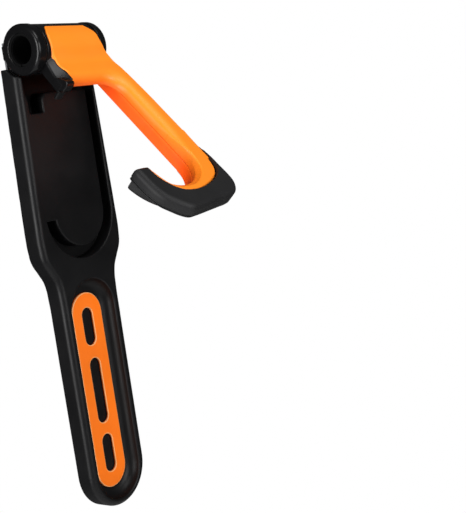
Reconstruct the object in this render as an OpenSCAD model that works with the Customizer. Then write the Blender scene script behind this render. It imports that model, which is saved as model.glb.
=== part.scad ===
// Fold-down bicycle wall rack: a moulded base plate, a hinge barrel and a J-shaped hook arm.
// The wall is the plane Y = 0, the rack stands out of it towards -Y, and Z = 0 is the hinge's height.

/* [Base] */
// Half width of the base at the hinge end
base_half_w = 52.5; // [51:0.5:54]
// Half width of the lower, tyre end of the base
tail_half_w = 37; // [35.5:0.5:38]
// Thickness of the base from the wall to its front face
base_t = 18.5; // [18:0.5:19]
// Height of the hinge axis above the base's lowest point
drop = 427; // [420:1:440]
// Thickness of the steel plate behind the cover
steel_t = 2; // [1.5:0.25:2]
// Wall thickness of the moulded cover
skin = 3; // [2.5:0.25:3]

/* [Hinge] */
// Distance of the hinge axis from the wall
hinge_out = 24.5; // [24.2:0.1:25]
// Outer radius of the knuckles
barrel_r = 22.5; // [22:0.1:22.5]
// Outer radius of the hollow hinge tube
tube_r = 14; // [13.5:0.25:14.5]
// Inner radius of the hollow hinge tube
tube_in_r = 12; // [10:0.25:12]
// Left end of the barrel, from the centre line
barrel_left = 46; // [45:0.5:47]
// Right end of the barrel, from the centre line
barrel_right = 42; // [41:0.5:43]

/* [Hook arm] */
// Angle between the arm and the base in the open position
arm_angle = 42; // [20:1:60]
// Distance from the hinge axis to the centre of the J
reach = 146; // [145:0.5:147]
// Sideways place of the centre of the J
hook_x = 2; // [1:0.5:3]
// Inside radius of the J, the space for the tyre
hook_in_r = 31.5; // [31:0.25:32]
// Width of the shank
shank_w = 18.5; // [18:0.5:19]
// Height of the arm's front face above the hinge axis
arm_front = 6.5; // [6:0.5:7]

/* [Tyre trim] */
// Half width of the orange trim
trim_half_w = 19.7; // [19:0.1:20.5]
// Thickness of the trim
trim_t = 2.7; // [2.4:0.1:3]
// Width of the trim's slots
slot_w = 13.5; // [12:0.5:15]

/* [Wall fixing] */
// Radius of the wall screw holes
wall_hole_r = 2.75; // [2.25:0.25:3.25]
// Distance between the two upper wall holes
upper_hole_gap = 40; // [36:1:44]

/* [Hidden] */
$fn = 96;
eps = 0.05;
far = 600;

// base outline
shoulder_z = -183;       // where the wide part starts to narrow
neck_z = -206;           // where the narrow part starts
tail_z = tail_half_w - drop;
saddle_r = barrel_r + 0.8;
edge_gap = 0.4;          // steel plate inside the cover
cover_top = -14;         // upper edge of the cover, under the barrel

// tyre trough: a dish with round ends, its floor runs up into the walls with a round corner
trough_half_w = 28.5;
trough_floor = 7;
trough_r = 10;
trough_top = -238;
trough_bottom = -392;
trim_seat = 1;           // the trim's seat is this much deeper than the trough

// J-shaped recess
recess_in_r = hook_in_r + 0.3;
recess_out_r = recess_in_r + 11.7;
recess_floor = 4.6;
rib_in_r = recess_in_r + 1.7;
rib_w = 8.3;
rib_mid = rib_in_r + rib_w / 2;
liner_r = recess_in_r + 0.3;
tip_z = -155.5;           // end of the core, rib and strip
recess_tip_z = -149.8;   // end of the recess
pad_tip_z = -154;

// hinge stack along X
knuckle_l = 10;
knuckle_rw = 9;
hub_left = -barrel_left + knuckle_l + 1.2;
hub_right = barrel_right - knuckle_rw - 1.2;
bush_wall = 2;
bush_l = 22;
hub_in_r = tube_r + bush_wall;
sleeve_r = 20;
flange_r = 19.8;
collar_r = 21.4;         // black collar round the hub, under the orange cover
run_gap = 0.06;
ring_t = 1.3;
tube_end_gap = 2.6;

// arm layers, measured forward from the hinge axis in the folded position
core_back = -5;
core_front = 1;
rib_back = -19;
shank_back = -16.5;
pad_back = -5.4;
pad_front = 10;
pad_left = -46.5;
pad_bottom = -206.5;
shank_right = hook_x + hook_in_r + shank_w;
shank_mid = hook_x + rib_mid;
root_end = -45;          // lower edge of the wide root plate
core_end = -40.5;        // lower edge of the core plate inside it
strip_x = 9.5;           // centre of the orange strip's outer edge
strip_r = 41.5;
leaf_right = -24;        // split between the black leaf and the orange root plate
leaf_left = hub_left + 0.2;
leaf_end = -46;

black = [0.09, 0.09, 0.095];
orange = [1, 0.5, 0.08];
steel = [0.7, 0.71, 0.73];
nylon = [0.85, 0.85, 0.82];
rubber = [0.13, 0.13, 0.135];

pocket_floor = steel_t + 1.2;
upper_hole_z = -31;
lower_holes = [-278.5, -353];
cover_screw_places = [[-30, -80], [24, -80], [-26, -202], [26, -202]];
clip_places = [[-13.5, -258], [13.5, -258], [-13.5, -378], [13.5, -378]];
rivet_places = [[shank_mid, -56], [shank_mid, -92], [shank_mid, -128]];
collar_screw_places = [-20.5, -14.5];
collar_screw_z = -30;
tongue_back = -7.6;

// ---- frames ----
// a 2D shape in X and Z, thick from one distance in front of the wall (or axis) to another
module slab(from, to) {
    translate([0, -from, 0]) rotate([90, 0, 0]) linear_extrude(to - from) children();
}
// the hinge axis, with the arm folded flat
module at_hinge() {
    translate([0, -hinge_out, 0]) children();
}
// the hinge axis, with the arm in its open position
module on_arm() {
    at_hinge() rotate([-arm_angle, 0, 0]) children();
}
// a round bar along X between two places
module bar_x(r, left, right) {
    translate([left, 0, 0]) rotate([0, 90, 0]) cylinder(r = r, h = right - left);
}
module tube_x(r, hole, left, right) {
    difference() {
        bar_x(r, left, right);
        bar_x(hole, left - 1, right + 1);
    }
}
// a round bar along Y, standing out of the wall plane
module bar_y(r, from, to) {
    translate([0, -from, 0]) rotate([90, 0, 0]) cylinder(r = r, h = to - from);
}

// ---- outlines ----
// base outline, moved in by a gap: its right side from the top down, then the round tail
function right_side(w, n, top) =
    [[w - 3, top], [w, -110], [w, shoulder_z], [w - 4, shoulder_z - 9], [n + 3, neck_z + 5],
     [n, neck_z - 6]];
module base_outline(gap = 0) {
    n = tail_half_w - gap;
    side = right_side(base_half_w - gap, n, -10 - gap);
    polygon(concat(side, [for (a = [0:6:180]) [n * cos(a), tail_z - n * sin(a)]],
                   [for (i = [len(side) - 1:-1:0]) [-side[i][0], side[i][1]]]));
}
// a bar with round ends, standing on the centre line
module stadium(r, top, bottom) {
    translate([-r, bottom]) square([2 * r, top - bottom]);
    for (z = [top, bottom]) translate([0, z]) circle(r);
}
// the J as a ribbon between two radii, from its tip round to the shank and up to a height
module j_ribbon(r_in, r_out, shank_top = -reach, tip = tip_z) {
    difference() {
        translate([hook_x, -reach]) circle(r_out);
        translate([hook_x, -reach]) circle(r_in);
        translate([hook_x, -reach]) square([100, 100]);
        translate([hook_x - 100, tip]) square([100 + eps, 100]);
    }
    if (shank_top > -reach)
        translate([hook_x + r_in, -reach]) square([r_out - r_in, reach + shank_top]);
}
// the space inside the edge of the orange strip
module strip_area() {
    translate([strip_x, -reach]) circle(strip_r);
    translate([strip_x - strip_r, -reach]) square([2 * strip_r, reach]);
}
module root_outline() {
    translate([leaf_right, root_end]) square([shank_right - leaf_right, -root_end - 14]);
    // the round inside corner between root plate and shank
    difference() {
        translate([0, -76]) square([hook_x + hook_in_r + eps, 32]);
        translate([0, -76]) circle(31);
    }
}

// ---- base ----
module wall_plate() {
    color(steel) difference() {
        union() {
            slab(0, steel_t) difference() {
                base_outline(skin + edge_gap);
                translate([-far / 2, cover_top + 0.1]) square([far, 40]);
            }
            slab(0, steel_t) translate([-barrel_left + 3.5, cover_top + 0.05])
                square([barrel_left + barrel_right - 5.5, 23]);
        }
        for (s = [-1, 1]) translate([s * upper_hole_gap / 2, 0, upper_hole_z])
            bar_y(wall_hole_r, -1, steel_t + 1);
        for (z = lower_holes) translate([0, 0, z]) bar_y(wall_hole_r, -1, steel_t + 1);
        for (p = cover_screw_places) translate([p[0], 0, p[1]]) bar_y(1.6, -1, steel_t + 1);
        knuckle_screw_places() bar_y(2.1, -1, steel_t + 1);
    }
}

// the space of the trough, grown into the base by a distance
module trough_space(grow = 0) {
    inner = trough_half_w - trough_r;
    corner = trough_floor + trough_r;
    slab(trough_floor - grow, base_t + 10) stadium(inner, trough_top, trough_bottom);
    slab(corner, base_t + 10) stadium(trough_half_w + grow, trough_top, trough_bottom);
    for (s = [-1, 1]) translate([s * inner, -corner, trough_bottom])
        cylinder(r = trough_r + grow, h = trough_top - trough_bottom);
    for (z = [trough_top, trough_bottom]) translate([0, -corner, z])
        rotate([90, 0, 0]) rotate_extrude() translate([inner, 0]) circle(trough_r + grow);
}
module trim_outline(gap = 0) {
    stadium(trim_half_w + gap, -242, -390.5);
}
module pocket_outline() {
    translate([-41, -37]) square([82 + 5, 30]);
    translate([-40.5, -55]) square([18, 30]);
}

module base_cover() {
    color(black) difference() {
        slab(0, base_t) base_outline();
        // hollow back, leaving the skin and the solid rims of trough, recess and pocket
        difference() {
            slab(-1, base_t - skin) base_outline(skin);
            slab(steel_t, base_t) {
                j_ribbon(recess_in_r - 2.4, recess_out_r + 2.4, -20, recess_tip_z + 2.4);
                translate([-44, -58]) square([92, 50]);
            }
            intersection() {
                slab(steel_t, base_t) stadium(trough_half_w + 4, trough_top, trough_bottom);
                trough_space(skin);
            }
            for (p = cover_screw_places) translate([p[0], 0, p[1]]) bar_y(4, steel_t, base_t);
        }
        // J-shaped recess
        slab(recess_floor, base_t + 1) j_ribbon(recess_in_r, recess_out_r, -15, recess_tip_z);
        // pocket under the hinge
        slab(pocket_floor, base_t + 1) pocket_outline();
        // tyre trough and the trim's seat in it
        trough_space();
        slab(trough_floor - trim_seat, base_t) trim_outline(0.25);
        // saddle under the barrel
        at_hinge() bar_x(saddle_r, -100, 100);
        slab(-1, base_t + 1) translate([-far / 2, cover_top]) square([far, 40]);
        // wall screw access holes
        for (s = [-1, 1]) translate([s * upper_hole_gap / 2, 0, upper_hole_z])
            bar_y(5.5, -1, base_t + 1);
        for (z = lower_holes) translate([0, 0, z]) bar_y(5.5, -1, base_t);
        for (p = cover_screw_places) translate([p[0], 0, p[1]]) bar_y(1.25, -1, 12);
        for (p = clip_places) translate([p[0], 0, p[1]]) bar_y(2.4, -1, base_t);
    }
}

module tyre_trim() {
    seat = trough_floor - trim_seat;
    color(orange) slab(seat, seat + trim_t) difference() {
        trim_outline();
        stadium(slot_w / 2, -243.5, -265.5);
        stadium(slot_w / 2, -291.5, -340.5);
        stadium(slot_w / 2, -365.5, -388.5);
    }
}

module trim_clips() {
    color(black) for (p = clip_places) translate([p[0], 0, p[1]]) difference() {
        union() {
            bar_y(2.2, 2.4, trough_floor - trim_seat);
            bar_y(3, 2.4, 3.8);
        }
        translate([-5, -4.8, -0.4]) cube([10, 4.8, 0.8]);
    }
}

module cover_screws() {
    color(steel) for (p = cover_screw_places) translate([p[0], 0, p[1]]) {
        bar_y(1.25, 0.6, 11);
        bar_y(1.6, 0.6, steel_t);
        bar_y(1.6, 0.3, 1);
    }
}

// ---- hinge ----
module knuckle_screw_places() {
    for (x = [-barrel_left + 7, barrel_right - 5.5], z = [-4.5, 4.5])
        translate([x, 0, z]) children();
}
module knuckle(left, right, ring_left) {
    color(black) difference() {
        union() {
            at_hinge() bar_x(barrel_r, left, right);
            slab(steel_t, 14) translate([left, -7]) square([right - left, 14]);
        }
        at_hinge() bar_x(tube_r, left - 1, right + 1);
        at_hinge() bar_x(tube_r + 0.8, ring_left, ring_left + ring_t);
        knuckle_screw_places() bar_y(1.6, -1, 8.5);
    }
}
module left_knuckle() {
    knuckle(-barrel_left, -barrel_left + knuckle_l, -barrel_left + tube_end_gap - ring_t);
}
module right_knuckle() {
    knuckle(barrel_right - knuckle_rw, barrel_right, barrel_right - tube_end_gap);
}
module knuckle_screws() {
    color(steel) knuckle_screw_places() {
        bar_y(1.6, 0.2, 7.5);
        bar_y(2.1, 0.2, steel_t);
    }
}
module hinge_tube() {
    color(steel) at_hinge()
        tube_x(tube_r, tube_in_r, -barrel_left + tube_end_gap, barrel_right - tube_end_gap);
}
module retaining_ring(left) {
    color(steel) at_hinge() difference() {
        tube_x(tube_r + 0.8, tube_in_r + 0.4, left, left + ring_t);
        translate([left - 1, -3, -tube_r - 3]) cube([ring_t + 2, 6, 6]);
    }
}
module left_retaining_ring() { retaining_ring(-barrel_left + tube_end_gap - ring_t); }
module right_retaining_ring() { retaining_ring(barrel_right - tube_end_gap); }

module bush(left, right, flange_left) {
    color(nylon) at_hinge() {
        tube_x(hub_in_r, tube_r + run_gap, left, right);
        tube_x(flange_r, tube_r + run_gap, flange_left, flange_left + 1.2);
    }
}
module left_bush() { bush(hub_left, hub_left + bush_l, hub_left); }
module right_bush() { bush(hub_right - bush_l, hub_right, hub_right - 1.2); }

module friction_washer(left) {
    color(steel) at_hinge() tube_x(20.5, tube_r + run_gap, left, left + 0.9);
}
module left_friction_washer() { friction_washer(-barrel_left + knuckle_l); }
module right_friction_washer() { friction_washer(barrel_right - knuckle_rw - 0.9); }

// ---- arm ----
module core_plate() {
    translate([leaf_right + 1, core_end])
        square([shank_mid + 3 - leaf_right, -4 - core_end]);
}
module arm_core() {
    color(steel) on_arm() difference() {
        union() {
            bar_x(sleeve_r, hub_left + 1.3, hub_right - 1.3);
            slab(core_back, core_front) {
                core_plate();
                j_ribbon(rib_in_r, rib_in_r + rib_w, -20, tip_z);
            }
        }
        bar_x(hub_in_r, -100, 100);
        bar_x(sleeve_r, hub_right - 1.3, 100);
        bar_x(barrel_r + 0.7, hub_right - 0.2, 100);
        for (p = rivet_places) translate([p[0], 0, p[1]]) bar_y(1.6, -20, 20);
        collar_holes() bar_y(1.3, core_back - 1, core_front + 1);
    }
}

module collar_holes() {
    for (x = collar_screw_places) translate([x, 0, collar_screw_z]) children();
}
module hub_collar() {
    color(black) on_arm() difference() {
        union() {
            bar_x(collar_r, leaf_left, hub_right - 0.2);
            slab(-8, 3.6) translate([leaf_left, leaf_end]) square([leaf_right - leaf_left, -leaf_end]);
            slab(-8, 5.2) translate([leaf_left, leaf_end - 1])
                square([leaf_right - leaf_left - 1, 8]);
            slab(-16, -7) translate([leaf_left + 1, leaf_end - 1]) square([8.4, 2.2]);
            // tongue behind the core plate, for the screws
            slab(tongue_back, core_back) translate([leaf_right - 1, -35.5]) square([14, 11]);
        }
        bar_x(sleeve_r, -100, 100);
        slab(core_back, core_front) core_plate();
        collar_holes() bar_y(1.6, tongue_back - 1, core_back + 1);
        collar_holes() bar_y(2.6, tongue_back - 1, tongue_back + 1.2);
    }
}
module collar_screws() {
    color(steel) on_arm() collar_holes() {
        bar_y(1.3, tongue_back + 0.4, core_front - 0.4);
        bar_y(2.6, tongue_back + 0.2, tongue_back + 1.2);
    }
}

module arm_cover() {
    color(orange) on_arm() difference() {
        union() {
            // shell over the hub, open at the back
            difference() {
                bar_x(barrel_r + 0.2, -30, hub_right - 0.2);
                rotate([48, 0, 0]) translate([-100, 4, -60]) cube([200, 100, 120]);
                translate([-100, 5, -60]) cube([200, 100, 60]);
            }
            slab(core_back, arm_front) root_outline();
            slab(core_back, arm_front) intersection() {
                j_ribbon(hook_in_r, hook_in_r + shank_w, -14, tip_z);
                strip_area();
            }
        }
        bar_x(collar_r, -100, 100);
        bar_x(barrel_r + 0.7, hub_right - 0.2, 100);
        // room for the leaf of the collar
        slab(-30, 5.3) translate([leaf_left - 1, leaf_end - 2])
            square([leaf_right - leaf_left + 1, -leaf_end + 2]);
        slab(core_back - 1, core_front) {
            translate([leaf_right - 1, core_end])
                square([shank_mid + 5 - leaf_right, -4 - core_end]);
            j_ribbon(rib_in_r, rib_in_r + rib_w, -18, tip_z + 1);
        }
        for (p = rivet_places) translate([p[0], 0, p[1]]) bar_y(1.6, -20, core_front + 3);
    }
}
module arm_back_cover() {
    color(orange) on_arm() difference() {
        slab(shank_back, core_back) {
            translate([hook_x + liner_r, -reach])
                square([rib_in_r + rib_w - liner_r, reach - 30]);
            // the inner side of the J, a thin liner that runs on round the bend
            difference() {
                j_ribbon(liner_r, rib_in_r - 0.1);
                translate([-far - 5, -far]) square([far, far]);
            }
        }
        bar_x(barrel_r + 0.5, -100, 100);
        for (p = rivet_places) translate([p[0], 0, p[1]]) bar_y(1.6, -20, 20);
        for (p = rivet_places) translate([p[0], 0, p[1]]) bar_y(3, -20, shank_back + 2);
    }
}
module cover_rivets() {
    color(steel) on_arm() for (p = rivet_places) translate([p[0], 0, p[1]]) {
        bar_y(1.6, shank_back + 1, core_front + 3);
        bar_y(3, shank_back + 0.6, shank_back + 2);
    }
}
module hook_rib() {
    color(black) on_arm() slab(rib_back, core_back)
        j_ribbon(rib_in_r, rib_in_r + rib_w);
}

function arc(x, y, r, from, to) = [for (a = [from:-6:to]) [x + r * cos(a), y + r * sin(a)]];
// flank beside the shank, round corner, flat bottom, slanted left corner and the tip
module pad_outline(gap = 0) {
    polygon(concat([[20, -112], [shank_right, -112], [53.7, -150]], arc(34, -182, 20, 0, -90),
                   [[-21, pad_bottom + gap], [-30.5, pad_bottom + gap + 4],
                    [pad_left + gap + 5, -190 + gap], [pad_left + gap, -172], [pad_left + gap, pad_tip_z],
                    [20, pad_tip_z]]));
}
module hook_pad() {
    color(rubber) on_arm() difference() {
        slab(pad_back, pad_front) pad_outline();
        // seat on the strip and the core
        slab(pad_back - 1, pad_front + 1) strip_area();
        slab(pad_back - 1, core_front) j_ribbon(rib_in_r - 2, rib_in_r + rib_w, -14, tip_z + 2);
        slab(pad_back - 1, pad_front + 1) j_ribbon(0, hook_in_r + 1.5, -14, tip_z + 2);
        // the flank beside the shank is thin
        slab(arm_front, pad_front + 1) translate([40, -140]) square([30, 40]);
        // parting groove round the left side and the bottom
        slab(-4, -2.4) difference() {
            translate([-80, -210]) square([80, 120]);
            pad_outline(1.2);
        }
    }
}

wall_plate();
base_cover();
tyre_trim();
trim_clips();
cover_screws();
left_knuckle();
right_knuckle();
knuckle_screws();
hinge_tube();
left_retaining_ring();
right_retaining_ring();
arm_core();
left_bush();
right_bush();
left_friction_washer();
right_friction_washer();
hub_collar();
collar_screws();
arm_cover();
arm_back_cover();
hook_rib();
hook_pad();
cover_rivets();
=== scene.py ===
"""The looks of the bicycle wall rack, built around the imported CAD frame."""
import math

import bpy
import numpy as np
from mathutils import Matrix, Vector


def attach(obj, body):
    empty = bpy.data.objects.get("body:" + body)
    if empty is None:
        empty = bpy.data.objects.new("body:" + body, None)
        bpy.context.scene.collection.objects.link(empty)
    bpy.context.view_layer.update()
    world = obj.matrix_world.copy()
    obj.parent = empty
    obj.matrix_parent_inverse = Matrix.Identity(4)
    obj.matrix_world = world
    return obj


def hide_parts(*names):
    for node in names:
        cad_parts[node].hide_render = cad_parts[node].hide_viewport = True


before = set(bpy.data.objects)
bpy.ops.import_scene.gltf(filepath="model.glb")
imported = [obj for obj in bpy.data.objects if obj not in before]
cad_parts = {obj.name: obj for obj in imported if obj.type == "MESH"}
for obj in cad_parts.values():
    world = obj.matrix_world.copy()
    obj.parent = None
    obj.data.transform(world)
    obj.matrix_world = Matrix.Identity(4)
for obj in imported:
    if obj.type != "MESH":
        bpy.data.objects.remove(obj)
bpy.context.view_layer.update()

MM = 0.001
HINGE_OUT = 24.5                 # hinge axis in front of the wall, in mm
ARM_TILT = math.radians(42)      # angle of the arm off the wall at rest
HOOK_X, HOOK_Z = 2.0, -146.0     # centre of the J's bend, along the arm
SLANT = 0.7071                   # makes the sum of two distances a 45 degree one


# ---------------------------------------------------------------- camera
def make_camera():
    """A camera aimed at a point, turned a little about its own axis."""
    azimuth, elevation, roll = 0.943, 0.136, -0.14
    distance, target = 0.9957, Vector((0.0903, -0.118, -0.2095))
    back = Vector((-math.sin(azimuth) * math.cos(elevation),
                   -math.cos(azimuth) * math.cos(elevation), math.sin(elevation)))
    right = (-back).cross(Vector((0, 0, 1))).normalized()
    up = right.cross(-back)
    c, s = math.cos(roll), math.sin(roll)
    side, top = c * right + s * up, -s * right + c * up
    cam = bpy.data.objects.new("camera", bpy.data.cameras.new("camera"))
    turn = Matrix((side, top, back)).transposed().to_4x4()
    cam.matrix_world = Matrix.Translation(target + distance * back) @ turn
    focal_pixels, image_height = 1067.3, 513
    cam.data.sensor_width = 36
    cam.data.lens = 36 * focal_pixels / image_height
    cam.data.clip_start, cam.data.clip_end = 0.05, 100
    bpy.context.scene.collection.objects.link(cam)
    bpy.context.scene.camera = cam


make_camera()


# ---------------------------------------------------------------- fields
# Every shape is a distance field in mm: below zero inside. A base piece has x, the distance
# out of the wall and the height; an arm piece has x, the distance in front of the hinge axis
# and the height along the arm.
def hypot(a, b):
    return np.sqrt(a * a + b * b)


def circle(x, z, cx, cz, r):
    return hypot(x - cx, z - cz) - r


def box(x, z, x0, x1, z0, z1, r=0.0):
    dx = np.abs(x - (x0 + x1) / 2) - (x1 - x0) / 2 + r
    dz = np.abs(z - (z0 + z1) / 2) - (z1 - z0) / 2 + r
    return hypot(np.maximum(dx, 0), np.maximum(dz, 0)) + np.minimum(np.maximum(dx, dz), 0) - r


def stadium(x, z, r, top, bottom):
    return hypot(x, z - np.clip(z, bottom, top)) - r


def polygon(x, z, points):
    """Exact distance to a closed outline."""
    x, z = np.broadcast_arrays(x, z)
    best = np.full(x.shape, 1e12)
    inside = np.zeros(x.shape, bool)
    for (ax, az), (bx, bz) in zip(points, np.roll(points, -1, 0)):
        ex, ez = bx - ax, bz - az
        px, pz = x - ax, z - az
        t = np.clip((px * ex + pz * ez) / (ex * ex + ez * ez), 0, 1)
        best = np.minimum(best, (px - ex * t) ** 2 + (pz - ez * t) ** 2)
        if ez:
            crossing = (az > z) != (bz > z)
            inside ^= crossing & (x < ex * (z - az) / ez + ax)
    return np.where(inside, -1, 1) * np.sqrt(best)


def smooth_outline(points, steps=6):
    """A closed round curve through points."""
    p = np.array(points, float)
    a, b, c, d = np.roll(p, 1, 0), p, np.roll(p, -1, 0), np.roll(p, -2, 0)
    t = (np.arange(steps) / steps)[:, None, None]
    q = 0.5 * (2 * b + (c - a) * t + (2 * a - 5 * b + 4 * c - d) * t ** 2
               + (3 * b - a - 3 * c + d) * t ** 3)
    return q.transpose(1, 0, 2).reshape(-1, 2)


def join(a, b, k=0.0):
    if not k:
        return np.minimum(a, b)
    h = np.maximum(k - np.abs(a - b), 0) / k
    return np.minimum(a, b) - h * h * k / 4


def meet(a, b, k=0.0):
    return -join(-a, -b, k)


def cut(a, b, k=0.0):
    return meet(a, -b, k)


def between(y, low, high):
    return np.abs(y - (low + high) / 2) - (high - low) / 2


def slab(d, y, low, high, r_high=0.0, r_low=0.0):
    """An outline made thick from low to high, with rounded edges."""
    r = np.where(y > (low + high) / 2, r_high, r_low)
    a, b = d + r, between(y, low, high) + r
    return hypot(np.maximum(a, 0), np.maximum(b, 0)) + np.minimum(np.maximum(a, b), 0) - r


def level(value, knots, heights):
    """A value read off a smooth line through knots."""
    t = np.interp(value, knots, np.arange(len(knots)))
    i = np.clip(t.astype(int), 0, len(knots) - 2)
    f = t - i
    k, h = np.array(knots, float), np.array(heights, float)
    m = np.gradient(h, k)
    w, f2, f3 = k[i + 1] - k[i], f * f, f * f * f
    return ((2 * f3 - 3 * f2 + 1) * h[i] + (f3 - 2 * f2 + f) * w * m[i]
            + (3 * f2 - 2 * f3) * h[i + 1] + (f3 - f2) * w * m[i + 1])


# ---------------------------------------------------------------- meshes
def net(field, low, high, step):
    """The zero surface of a field as quads: one vertex in each cell that the surface crosses."""
    axes = [np.arange(a - 2 * step, b + 3 * step, step) for a, b in zip(low, high)]
    x, y, z = axes[0][:, None, None], axes[1][None, :, None], axes[2][None, None, :]
    f = np.broadcast_to(field(x, y, z), [len(a) for a in axes]).astype(np.float32)
    inside = f < 0
    n = np.array(f.shape) - 1
    corners = [(i, j, k) for i in (0, 1) for j in (0, 1) for k in (0, 1)]

    def at(a, c):
        return a[c[0]:c[0] + n[0], c[1]:c[1] + n[1], c[2]:c[2] + n[2]]

    count = sum(at(inside, c).astype(np.int8) for c in corners)
    cell = np.argwhere((count > 0) & (count < 8))
    total, hits = np.zeros((len(cell), 3)), np.zeros(len(cell))
    for a in corners:
        for k in range(3):
            if a[k]:
                continue
            b = tuple(1 if i == k else v for i, v in enumerate(a))
            fa, fb = (f[tuple((cell + c).T)].astype(float) for c in (a, b))
            crossed = (fa < 0) != (fb < 0)
            t = np.where(crossed, fa / np.where(crossed, fa - fb, 1), 0)
            point = np.array(a, float) + t[:, None] * (np.array(b) - np.array(a))
            total += point * crossed[:, None]
            hits += crossed
    origin = np.array([a[0] for a in axes])
    verts = origin + (cell + total / hits[:, None]) * step
    index = np.full(n, -1, np.int64)
    index[tuple(cell.T)] = np.arange(len(cell))
    quads = []
    for k in range(3):
        i, j = (k + 1) % 3, (k + 2) % 3
        first = [slice(None)] * 3
        last = [slice(None)] * 3
        first[k], last[k] = slice(None, -1), slice(1, None)
        edge = np.argwhere(inside[tuple(first)] != inside[tuple(last)])
        edge = edge[(edge[:, i] > 0) & (edge[:, j] > 0) & (edge[:, i] < n[i])
                    & (edge[:, j] < n[j])]
        around = []
        for di, dj in ((0, 0), (-1, 0), (-1, -1), (0, -1)):
            c = edge.copy()
            c[:, i] += di
            c[:, j] += dj
            around.append(index[tuple(c.T)])
        q = np.stack(around, 1)
        out = inside[tuple(edge.T)]
        q[~out] = q[~out][:, ::-1]
        quads.append(q)
    return verts, np.concatenate(quads)


def slope(field, p, h=0.02):
    g = np.empty_like(p)
    for k in range(3):
        d = np.zeros(3)
        d[k] = h
        g[:, k] = (field(*(p + d).T) - field(*(p - d).T)) / (2 * h)
    return g


def to_base(p):
    return np.stack([p[:, 0], -p[:, 1], p[:, 2]], 1)


def to_arm(p):
    c, s = math.cos(ARM_TILT), math.sin(ARM_TILT)
    return np.stack([p[:, 0], s * p[:, 2] - c * p[:, 1], c * p[:, 2] + s * p[:, 1]], 1)


def mesh_piece(name, body, nodes, material, field, low, high, step):
    """Makes a piece from a field and lets it stand for CAD nodes.

    low and high are the corners of the box that the field is sampled in, and step is the
    size of a cell, in mm."""
    p, quads = net(field, low, high, step)
    g = slope(field, p)
    for _ in range(3):        # pull the vertices onto the surface
        move = field(*p.T)[:, None] * g / np.maximum((g * g).sum(1), 0.2)[:, None]
        size = np.sqrt((move * move).sum(1))
        p = p - move * np.minimum(1, 0.4 * step / np.maximum(size, 1e-9))[:, None]
    g = slope(field, p)
    turn = to_base if body == "base" else to_arm
    shift = np.array([0, -HINGE_OUT, 0]) if body == "arm" else np.zeros(3)
    world, normal = (turn(p) + shift) * MM, turn(g)
    quads = quads[:, ::-1]    # both frames are mirrored
    mesh = bpy.data.meshes.new(name)
    mesh.vertices.add(len(world))
    mesh.vertices.foreach_set("co", world.astype(np.float32).ravel())
    mesh.loops.add(quads.size)
    mesh.loops.foreach_set("vertex_index", quads.astype(np.int32).ravel())
    mesh.polygons.add(len(quads))
    mesh.polygons.foreach_set("loop_start", np.arange(0, quads.size, 4, dtype=np.int32))
    mesh.update(calc_edges=True)
    mesh.polygons.foreach_set("use_smooth", np.ones(len(quads), bool))
    length = np.sqrt((normal * normal).sum(1))
    mesh.normals_split_custom_set_from_vertices(normal / np.maximum(length, 1e-9)[:, None])
    # how far forward each point lies; the orange materials read it to paint shade and highlight
    depth = mesh.attributes.new("depth", "FLOAT", "POINT")
    depth.data.foreach_set("value", p[:, 1].astype(np.float32))
    obj = bpy.data.objects.new(name, mesh)
    bpy.context.scene.collection.objects.link(obj)
    obj.data.materials.append(material)
    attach(obj, body)
    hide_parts(*nodes)


# ---------------------------------------------------------------- materials
class Nodes:
    """A material's node tree, with short calls to add and link nodes."""

    def __init__(self, name):
        self.material = bpy.data.materials.new(name)
        self.material.use_nodes = True
        self.tree = self.material.node_tree
        self.shader = self.tree.nodes["Principled BSDF"]
        self.coords = self.add("ShaderNodeTexCoord").outputs["Object"]

    def add(self, kind, **inputs):
        node = self.tree.nodes.new(kind)
        for key, value in inputs.items():
            self.put(node.inputs[key.replace("_", " ")], value)
        return node

    def put(self, socket, value):
        if isinstance(value, bpy.types.NodeSocket):
            self.tree.links.new(value, socket)
        else:
            socket.default_value = value

    def noise(self, scale, detail=3.0, stretch=None):
        node = self.add("ShaderNodeTexNoise", Scale=scale, Detail=detail)
        if stretch:
            mapping = self.add("ShaderNodeMapping", Vector=self.coords, Scale=stretch)
            self.put(node.inputs["Vector"], mapping.outputs["Vector"])
        else:
            self.put(node.inputs["Vector"], self.coords)
        return node.outputs["Fac"]

    def ramp(self, value, stops):
        node = self.add("ShaderNodeValToRGB", Fac=value)
        e = node.color_ramp.elements
        while len(e) < len(stops):
            e.new(0.5)
        for element, (place, colour) in zip(e, stops):
            element.position = place
            element.color = (*colour, 1)
        return node.outputs["Color"]

    def range(self, value, low, high, from_low=0.0, from_high=1.0):
        node = self.tree.nodes.new("ShaderNodeMapRange")
        self.put(node.inputs["Value"], value)
        for key, v in (("From Min", from_low), ("From Max", from_high), ("To Min", low),
                       ("To Max", high)):
            node.inputs[key].default_value = v
        return node.outputs["Result"]

    def mix(self, share, a, b):
        node = self.tree.nodes.new("ShaderNodeMix")
        node.data_type = "RGBA"
        for socket, value in zip((node.inputs["Factor"], node.inputs[6], node.inputs[7]),
                                 (share, a, b)):
            if isinstance(value, tuple):
                value = (*value, 1)
            self.put(socket, value)
        return node.outputs[2]

    def bump(self, *layers):
        """Layers are (height, strength, distance in metres)."""
        normal = None
        for height, strength, distance in layers:
            node = self.add("ShaderNodeBump", Height=height, Strength=strength,
                            Distance=distance)
            if normal:
                self.put(node.inputs["Normal"], normal)
            normal = node.outputs["Normal"]
        self.put(self.shader.inputs["Normal"], normal)

    def set(self, **values):
        for key, value in values.items():
            if isinstance(value, tuple):
                value = (*value, 1)
            self.put(self.shader.inputs[key.replace("_", " ")], value)


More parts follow.
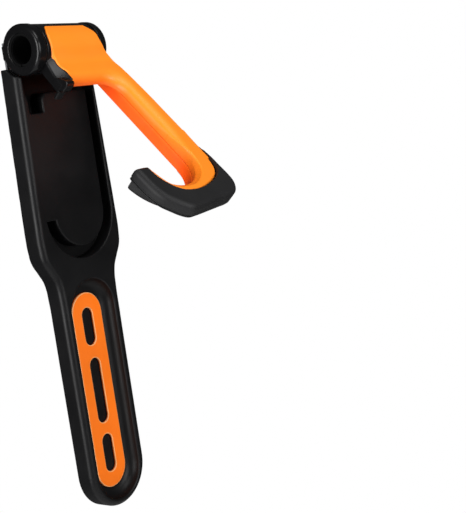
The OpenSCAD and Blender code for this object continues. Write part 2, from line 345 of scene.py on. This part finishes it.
def plastic(name, dark, light, rough, grain, specular, wear):
    """Moulded plastic: fine spark grain, slow colour change, paler worn edges."""
    m = Nodes(name)
    slow, fine = m.noise(14, 4), m.noise(grain, 2)
    colour = m.ramp(slow, [(0.3, dark), (0.7, light)])
    edge = m.add("ShaderNodeNewGeometry").outputs["Pointiness"]
    worn = m.range(edge, 0.0, wear, 0.53, 0.62)
    colour = m.mix(worn, colour, tuple(min(1, 3 * v + 0.02) for v in light))
    m.set(Base_Color=colour, Specular_IOR_Level=specular,
          Roughness=m.range(m.noise(40, 5), rough - 0.05, rough + 0.06, 0.3, 0.7))
    m.bump((fine, 0.25, 0.0002), (m.noise(260, 2), 0.05, 0.0006))
    return m.material


def orange_with_painted_light(name, low, high, painted_light_stops):
    """Orange moulded plastic, its colour going by how far forward the surface lies: painted shade
    deepening towards the back, and a painted highlight wherever the stops turn pale.
    """
    m = Nodes(name)
    attribute = m.tree.nodes.new("ShaderNodeAttribute")
    attribute.attribute_name = "depth"
    depth = m.range(attribute.outputs["Fac"], 0, 1, low, high)
    slow = m.noise(18, 3)
    # painted light: the stops turn how far forward a point lies into colour, darker red-orange
    # further back as painted shade
    colour = m.ramp(depth, painted_light_stops)
    colour = m.mix(m.range(slow, 0.0, 0.16, 0.35, 0.7), colour,
                   tuple(0.86 * v for v in painted_light_stops[-1][1]))
    m.set(Base_Color=colour, Specular_IOR_Level=0.35,
          Roughness=m.range(m.noise(60, 4), 0.36, 0.48, 0.3, 0.7))
    m.bump((m.noise(1500, 2), 0.2, 0.0002), (m.noise(220, 2), 0.04, 0.0006))
    return m.material


def metal(name, colour, rough, metallic=1.0, stretch=(1, 40, 40), specular=0.5):
    """Metal, or a painted tube, with fine streaks and spots."""
    m = Nodes(name)
    streak = m.noise(60, 5, stretch)
    spot = m.noise(180, 4)
    tint = m.mix(m.range(spot, 0, 0.5, 0.4, 0.7), colour, tuple(0.72 * v for v in colour))
    m.set(Base_Color=tint, Metallic=metallic, Specular_IOR_Level=specular,
          Roughness=m.range(streak, rough - 0.08, rough + 0.14, 0.3, 0.7))
    m.bump((streak, 0.12, 0.0002), (spot, 0.08, 0.0002))
    return m.material


BLACK = plastic("black_plastic", (0.003, 0.003, 0.0033), (0.0044, 0.0044, 0.0048), 0.42, 1400,
                0.18, 0.25)
HINGE = plastic("hinge_black", (0.003, 0.003, 0.0033), (0.0046, 0.0046, 0.005), 0.26, 1200,
                0.2, 0.3)
RUBBER = plastic("rubber", (0.010, 0.010, 0.0105), (0.015, 0.015, 0.0155), 0.5, 2200,
                 0.2, 0.2)
# painted shade: deep red-orange on the back and sides of the arm, full orange on its front
ARM_ORANGE = orange_with_painted_light("arm_orange", -8.0, 6.0, [(0.0, (0.95, 0.09, 0.004)),
                                                      (1.0, (1.0, 0.26, 0.014))])
# painted shade on the trim's lower edge, a pale painted highlight along the rounded rim of its
# front face, full orange on the front itself
TRIM_ORANGE = orange_with_painted_light("trim_orange", 7.0, 8.7, [(0.3, (0.95, 0.12, 0.004)),
                                                       (0.7, (1.0, 0.5, 0.2)),
                                                       (0.93, (1.0, 0.5, 0.2)),
                                                       (0.99, (1.0, 0.19, 0.006))])
STEEL = metal("zinc_steel", (0.62, 0.63, 0.66), 0.32)
SCREW = metal("screw_steel", (0.6, 0.6, 0.62), 0.28, stretch=(1, 1, 1))
TUBE = metal("black_tube", (0.002, 0.002, 0.0022), 0.6, 0.0, (40, 1, 1), 0.08)
CORE = metal("black_core", (0.008, 0.008, 0.009), 0.5, 0.3)


# ---------------------------------------------------------------- base
FACE = 18.5                      # front of the base, from the wall
FACE_R, BACK_R = 5.5, 0.6        # rounding of its front and back edges
TOP_END = -14
SHELL = 3                        # wall of the moulded cover
TROUGH_HALF_W, TROUGH_FLOOR, TROUGH_R, TROUGH_TOP, TROUGH_BOTTOM = 28.5, 7.0, 10.0, -238, -392
TRIM_TOP, TRIM_BOTTOM = -242, -390.5
SEAT_R, SEAT_FLOOR = 20.0, 6     # where the trim lies in the trough
TRIM_R, TRIM_BACK, TRIM_FRONT = 19.7, 6.05, 8.7
SLOT_R = 6.75
SLOTS = ((-243.5, -265.5), (-291.5, -340.5), (-365.5, -388.5))
RECESS_IN, RECESS_OUT, RECESS_FLOOR, RECESS_TIP = 31.8, 43.2, 4.6, -149.8
RECESS_TOP = -12
RIM = 2.4                        # wall round the recess, inside the cover
PLATE_T = 2.0
POCKET_FLOOR = 3.2
SADDLE_R = 23.3                  # room for the barrel
SCREW_WELL_R = 5.5
SCREW_WELLS = ((0, -278.5), (0, -353))
TAIL_R, TAIL_Z = 37.0, -390.0

# half width of the base by height
WIDTH_HEIGHTS = [-400, -350, -300, -250, -222, -212, -204, -196, -186, -172, -150, -110, -60, -10]
HALF_WIDTHS = [37, 37.1, 37.2, 37.4, 37.7, 38.4, 40.4, 44.9, 50.7, 53, 53, 52, 50.6, 49]


def outline(x, z):
    """Distance to the outline of the base: two curved sides and a round tail."""
    h = 0.5
    above = level(z + h, WIDTH_HEIGHTS, HALF_WIDTHS)
    below = level(z - h, WIDTH_HEIGHTS, HALF_WIDTHS)
    lean = (above - below) / (2 * h)
    side = (np.abs(x) - level(z, WIDTH_HEIGHTS, HALF_WIDTHS)) / np.sqrt(1 + lean * lean)
    return np.where(z > TAIL_Z, side, circle(x, z, 0, TAIL_Z, TAIL_R))


def trough(x, n, z, grow=0.0):
    """A dish with round ends, its floor running up into the walls."""
    plan = stadium(x, z, TROUGH_HALF_W, TROUGH_TOP, TROUGH_BOTTOM)
    return slab(plan, n, TROUGH_FLOOR, 60, 0, TROUGH_R) - grow


def hook_line(x, z, r_in, r_out, top, tip):
    """The J as a ribbon: round from its tip to the shank, then straight up to a height."""
    ring = between(hypot(x - HOOK_X, z - HOOK_Z), r_in, r_out)
    ring = meet(ring, join(z - tip, z - HOOK_Z + (HOOK_X - x) * 100))
    bend = meet(ring, np.where(x > HOOK_X, z - HOOK_Z, z - tip))
    shank = box(x, z, HOOK_X + r_in, HOOK_X + r_out, HOOK_Z - 0.5, top)
    return join(bend, shank)


def pocket(x, z):
    """The pocket under the hinge, with a leg at the left for the leaf of the folded arm."""
    wide = box(x, z, -41, 47, -37, 0, 2)
    leg = box(x, z, -40.5, -23.5, -54.5, -20, 2)
    return join(wide, leg, 9)


def base_field(x, n, z):
    """The moulded cover with its trough, recess, pocket and hollow back."""
    d = slab(outline(x, z), n, 0, FACE, FACE_R, BACK_R)
    d = cut(d, trough(x, n, z), 1.6)
    seat = meet(stadium(x, z, SEAT_R, TRIM_TOP, TRIM_BOTTOM), SEAT_FLOOR - n)
    d = cut(d, seat, 0.5)
    recess = hook_line(x, z, RECESS_IN, RECESS_OUT, RECESS_TOP, RECESS_TIP)
    d = cut(d, meet(recess, RECESS_FLOOR - n), 1.2)
    d = cut(d, meet(pocket(x, z), POCKET_FLOOR - n), 1.4)
    d = cut(d, hypot(n - HINGE_OUT, z) - SADDLE_R, 0.8)
    d = cut(d, TOP_END - z, 0.8)
    # hollow back, with the steel plate's seat
    hollow = meet(meet(outline(x, z) + SHELL, n - (FACE - SHELL)), -trough(x, n, z, 3.6))
    keep = join(hook_line(x, z, RECESS_IN - RIM, RECESS_OUT + RIM, RECESS_TOP, HOOK_Z),
                box(x, z, -44, 48, -58, 0))
    d = cut(d, meet(hollow, -meet(keep, PLATE_T - n)), 0.4)
    for px, pz in SCREW_WELLS:
        d = cut(d, meet(circle(x, z, px, pz, SCREW_WELL_R), n - FACE), 0.3)
    return d


mesh_piece("base_shell", "base", ["base_cover"], BLACK, base_field,
           (-54, 0, -428), (54, 19, -13), 0.8)


def trim_field(x, n, z):
    """A flat plate with round ends and three long slots."""
    plan = stadium(x, z, TRIM_R, TRIM_TOP, TRIM_BOTTOM)
    d = meet(meet(plan, n - TRIM_FRONT, 1.3), TRIM_BACK - n)
    for top, bottom in SLOTS:
        d = cut(d, stadium(x, z, SLOT_R, top, bottom), 1.2)
    return d


mesh_piece("trough_trim", "base", ["tyre_trim"], TRIM_ORANGE, trim_field,
           (-20, 6, -411), (20, 10, -221.5), 0.6)


# ---------------------------------------------------------------- hinge
KNUCKLE_R, BORE_R = 22.3, 14.1


def knuckle_field(left, right, end):
    """A ring on the hinge axis with a foot down to the plate. Its outer end is rounded."""
    def field(x, n, z):
        r = hypot(n - HINGE_OUT, z)
        outer = (x - (right if end > 0 else left)) * end
        shape = meet(r - KNUCKLE_R, between(x, left, right), 0.6)
        shape = meet(shape, (r - KNUCKLE_R + outer) * SLANT + 1.1, 1.4)
        foot = slab(box(x, z, left + 0.5, right - 0.5, -6, 6, 1), n, 2.0, 14)
        d = join(shape, foot)
        d = cut(d, r - BORE_R, 0.3)
        return cut(d, (r - BORE_R - outer) * SLANT - 0.4, 0.4)
    return field


for hand, low_x, high_x, outward in (("left", -46, -36, -1), ("right", 33, 42, 1)):
    mesh_piece("knuckle_" + hand, "base", [hand + "_knuckle"], HINGE,
               knuckle_field(low_x, high_x, outward), (low_x, 2, -23), (high_x, 47, 23), 0.6)


# ---------------------------------------------------------------- arm
HUB_LEFT, HUB_RIGHT, HUB_R = -34.6, 31.6, 22.9
SLEEVE_R = 20.8                  # inside of the orange cover round the hub
HUB_BLEND = 8
COVER_FRONT, COVER_BACK = 6.8, -5.1
THROAT_R, THROAT_TOP = 31.5, -118
SHANK_LEFT, SHANK_RIGHT = HOOK_X + THROAT_R, 52.2
ROOT_END, ROOT_FILLET = -45.3, 20
LEAF_RIGHT, LEAF_END = -24, -46.4
RIVETS = (-56, -92, -128)

# left and right edges of the orange cover, by distance down the arm
LEFT_KNOTS = [-30, -10, -5, 5, 12, 16, 19.5, 23, 28, 33, 37, 42, 48, 60]
LEFT_EDGE = [-25, -26, -26.5, -31.3, -31.6, -31, -30, -28.4, -28.2, -27, -24.6, -25, -28, -34]
RIGHT_KNOTS = [-30, -10, -3, 6, 13, 18.5, 24, 33, 45, 56, 78, 100, 135, 200]
RIGHT_EDGE = [15, 18, 23, 30.5, 33, 37.4, 44, 47.7, 49.6, 50.4, 51.5, 51.8, 52.4, 52.4]


def skin(w, z):
    """The front of the arm: round over the hub, then flat along the root and the shank."""
    return join(hypot(w, z) - HUB_R, meet(w - COVER_FRONT, z), HUB_BLEND)


# front of the collar's leaf, by distance down the arm
LEAF_KNOTS = [0, 12, 18, 24, 30, 36, 41, 46]
LEAF_FRONT = [9, 7.5, 5.6, 3.4, 1.8, 0.7, 0.3, 0.3]


def collar_field(x, w, z):
    """The black sleeve under the cover, with a leaf at the left and a block at its end."""
    r = hypot(w, z)
    sleeve = meet(r - 21.7, between(x, HUB_LEFT, HUB_RIGHT), 1.2)
    # the leaf: a flat side, and a front that climbs from it to the orange cover
    front = level(-z, LEAF_KNOTS, LEAF_FRONT) + 0.62 * (x - HUB_LEFT)
    plan = box(x, z, HUB_LEFT, LEAF_RIGHT, LEAF_END, 0, 0.5)
    leaf = meet(meet(plan, (w - front) * 0.85, 1.2), -6.35 + 0.054 * z - w, 1)
    leaf = meet(leaf, skin(w, z) + 0.7, 0.5)
    lump = polygon(w, z, [(-8, -44), (-7, -36.4), (-1, -36.8), (3.2, -41.5), (5.9, -48.2),
                          (5.2, -50.4), (2.5, -51.2), (-4, -50.4)])
    block = meet(lump, between(x, HUB_LEFT, -24.8), 1.2)
    fin = slab(box(x, z, -33.6, -25.2, -47, -44.4, 0.8), w, -16, -7, 0.5, 0.8)
    tongue = slab(box(x, z, -25, -11, -35.5, -24.5, 0.5), w, -7.6, -5)
    d = join(join(sleeve, join(leaf, block, 0.8), 1.0), join(fin, tongue))
    return cut(d, r - 20.1, 0.3)


mesh_piece("hub_collar_shell", "arm", ["hub_collar"], HINGE, collar_field,
           (-35, -22.5, -52), (32, 22.5, 22.5), 0.6)

# front edges of the orange J: against the pad, and round the throat. Ten points of the first
# and five of the second were worked out by a scratch script: report.md tells how
STRIP = smooth_outline([(52.4, -100), (52.4, -135), (51.6, -150), (49.8, -161), (46.1, -172),
                        (36.8, -180.4), (20.4, -186.6), (3.2, -189.2), (-11.7, -187.4),
                        (-20.4, -182.7), (-26.5, -175.8), (-30.3, -169), (-32, -161.4),
                        (-31.6, -157.4), (-29.5, -157.2), (-26, -160), (0, -130), (30, -96)])
THROAT = smooth_outline([(15, -98), (27, -101), (32.6, -109), (33.5, -122), (33.5, -140),
                         (33.3, -152), (29.4, -166), (20, -175.5), (8, -181), (-4.3, -182),
                         (-13.8, -181), (-22, -176.2), (-26.6, -168), (-29.3, -159),
                         (-30, -150), (-30, -120), (-26, -104), (-13, -98)])


def arm_plan(x, z):
    """The arm's outline seen from the front, root plate, shank and J."""
    u = -z
    left = level(u, LEFT_KNOTS, LEFT_EDGE)
    right = level(u, RIGHT_KNOTS, RIGHT_EDGE)
    root = meet(meet(left - x, x - right), ROOT_END - z, 5)
    shank = box(x, z, SHANK_LEFT, SHANK_RIGHT, -160, -20)
    d = meet(join(root, shank, ROOT_FILLET), x - right)
    lower = polygon(x, z, STRIP)
    lower = meet(lower, np.where(x < 20, z + 156, z + 121), 2)
    return join(d, lower, 1)


def arm_field(x, w, z):
    """The orange cover: over the hub, down the shank and round the J."""
    r = hypot(w, z)
    # the throat of the J opens out towards the front
    inner = hypot(x - HOOK_X, z - np.clip(z, HOOK_Z, THROAT_TOP)) - THROAT_R
    flare = np.clip((w - 0.5) / 5, 0, 1) * np.clip((-140 - z) / 10, 0, 1)
    throat = inner + flare * flare * (3 - 2 * flare) * (polygon(x, z, THROAT) - inner)
    plan = meet(arm_plan(x, z), -throat, 0.6)
    taper = np.maximum(0, 4 - w) * 0.044
    body = slab(plan + taper, w, COVER_BACK, COVER_FRONT, 2.6, 0.1)
    # the inner edge of the root and the shank is softer than the rest
    side = np.where(z > -130, join(ROOT_END - z, SHANK_LEFT - x, ROOT_FILLET), -throat)
    soft = side - 10 * np.clip((-100 - z) / 60, 0, 1) ** 2
    body = meet(body, meet(soft, w - COVER_FRONT, 11))
    body = meet(body, 20.5 - r)
    hub = meet(between(r, SLEEVE_R, HUB_R), plan, 1.0)
    hub = meet(hub, meet(z - 4.2, -w - 5), 0.8)
    d = meet(join(body, hub, HUB_BLEND), plan, 1.5)
    d = meet(d, meet(w - HUB_R, meet(z - 4.2, -w + COVER_BACK)), 0.8)
    return meet(d, SLEEVE_R - r, 0.5)


mesh_piece("arm_shell", "arm", ["arm_cover"], ARM_ORANGE, arm_field,
           (-36, -14, -190), (54, 24, 6), 0.7)


def back_cover_field(x, w, z):
    """The rear rib of the shank, and a thin liner round the inside of the bend."""
    d = slab(box(x, z, 33.9, 43.8, -146, -30, 0.3), w, -16.5, -5, 0, 0.5)
    liner = meet(between(hypot(x - HOOK_X, z - HOOK_Z), 31.9, 33.4), meet(z - HOOK_Z, -5 - x))
    d = join(d, meet(liner, between(w, -16.5, -5), 0.5))
    d = meet(d, 23.2 - hypot(w, z))
    for place in RIVETS:
        d = cut(d, meet(circle(x, z, 39.6, place, 3.1), w + 14.3), 0.5)
    return d


mesh_piece("arm_back_shell", "arm", ["arm_back_cover"], ARM_ORANGE,
           back_cover_field, (-6, -17, -180), (45, -4, -28), 0.7)


def rib_field(x, w, z):
    """The rear rib of the J."""
    d = hook_line(x, z, 33.5, 41.8, HOOK_Z, -154)
    return slab(d, w, -19, -5, 0.5, 3.0)


mesh_piece("hook_rib_shell", "arm", ["hook_rib"], RUBBER, rib_field,
           (-41, -20, -189), (45, -4, -145), 0.7)

PAD = smooth_outline([(40, -112), (52.4, -112), (53.2, -130), (53, -150), (52.6, -168),
                      (53.2, -182), (51.8, -192), (45.5, -200.2), (36, -203.4), (22, -204.6),
                      (5, -206), (-12, -207.2), (-21, -207), (-28.6, -202.8), (-36, -195.8),
                      (-41.8, -189), (-45.6, -178), (-46.8, -165), (-46.6, -157),
                      (-44.5, -154.3), (-36, -154), (-20, -154), (10, -140)])


def pad_field(x, w, z):
    """The rubber pad round the J, with a groove along its back and cut back to the strip."""
    plan = polygon(x, z, PAD)
    top = level(x, [-60, -45, -20, 30, 60], [7, 7.2, 8, 10, 10.2])
    d = slab(plan, w, -5.4, top, 5.0, 1.5)
    groove = meet(meet(between(w, -4, -2.4), -plan - 1.2), x + 18)
    d = cut(d, groove, 0.6)
    d = cut(d, polygon(x, z, STRIP) - 0.3, 1.2)
    d = cut(d, polygon(x, z, THROAT) - 1, 1.0)
    return cut(d, meet(box(x, z, 40, 70, -140, -100), 7.5 - w), 2)


mesh_piece("hook_pad_shell", "arm", ["hook_pad"], RUBBER, pad_field,
           (-50, -6, -210), (57, 11, -110), 0.7)

# ---------------------------------------------------------------- CAD nodes that still show
FINISHES = {"wall_plate": STEEL, "trim_clips": BLACK, "cover_screws": SCREW,
            "knuckle_screws": SCREW, "hinge_tube": TUBE, "left_retaining_ring": TUBE,
            "right_retaining_ring": TUBE, "arm_core": CORE, "left_bush": CORE,
            "right_bush": CORE, "left_friction_washer": CORE, "right_friction_washer": CORE,
            "collar_screws": SCREW, "cover_rivets": SCREW}
for node, finish in FINISHES.items():
    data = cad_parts[node].data
    data.materials.clear()
    data.materials.append(finish)


# ---------------------------------------------------------------- floor, light and world
def make_floor():
    """A pale floor well below the rack."""
    side, z = 1.1, -1.3
    mesh = bpy.data.meshes.new("floor")
    near, far = -side - 0.5, side - 0.5
    mesh.from_pydata([(-side, near, z), (side, near, z), (side, far, z), (-side, far, z)],
                     [], [(0, 1, 2, 3)])
    floor = bpy.data.objects.new("floor", mesh)
    bpy.context.scene.collection.objects.link(floor)
    m = Nodes("pale_floor")
    pale = m.ramp(m.noise(3, 2), [(0.3, (0.93, 0.93, 0.93)), (0.7, (0.95, 0.95, 0.95))])
    m.set(Base_Color=pale, Roughness=0.9, Specular_IOR_Level=0.1)
    mesh.materials.append(m.material)


def area_light(name, place, aim, size, power):
    light = bpy.data.lights.new(name, "AREA")
    light.shape, light.size, light.size_y = "RECTANGLE", size[0], size[1]
    light.energy = power
    lamp = bpy.data.objects.new(name, light)
    lamp.location = place
    lamp.rotation_mode = "QUATERNION"
    lamp.rotation_quaternion = (Vector(aim) - Vector(place)).to_track_quat("-Z", "Y")
    bpy.context.scene.collection.objects.link(lamp)


def make_world():
    """A dim room to light by, shown as a plain pale backdrop."""
    world = bpy.data.worlds.new("studio")
    world.use_nodes = True
    tree = world.node_tree
    room = tree.nodes["Background"]
    room.inputs["Color"].default_value = (1, 1, 1, 1)
    room.inputs["Strength"].default_value = 0.06
    shown = tree.nodes.new("ShaderNodeBackground")
    shown.inputs["Strength"].default_value = 1.0
    shown.inputs["Color"].default_value = (1, 1, 1, 1)
    path, mix = tree.nodes.new("ShaderNodeLightPath"), tree.nodes.new("ShaderNodeMixShader")
    tree.links.new(path.outputs["Is Camera Ray"], mix.inputs["Fac"])
    tree.links.new(room.outputs[0], mix.inputs[1])
    tree.links.new(shown.outputs[0], mix.inputs[2])
    tree.links.new(mix.outputs[0], tree.nodes["World Output"].inputs["Surface"])
    bpy.context.scene.world = world


make_floor()
make_world()
CENTRE = (0, -0.05, -0.2)
area_light("key", (-1.75, -0.15, -0.15), CENTRE, (0.8, 1.6), 45)
area_light("top", (-0.2, -1.2, 1.4), CENTRE, (1.2, 0.8), 20)
area_light("front", (0.1, -2.6, 0.1), CENTRE, (1.4, 1.4), 42)
bpy.context.scene.view_settings.view_transform = "Standard"
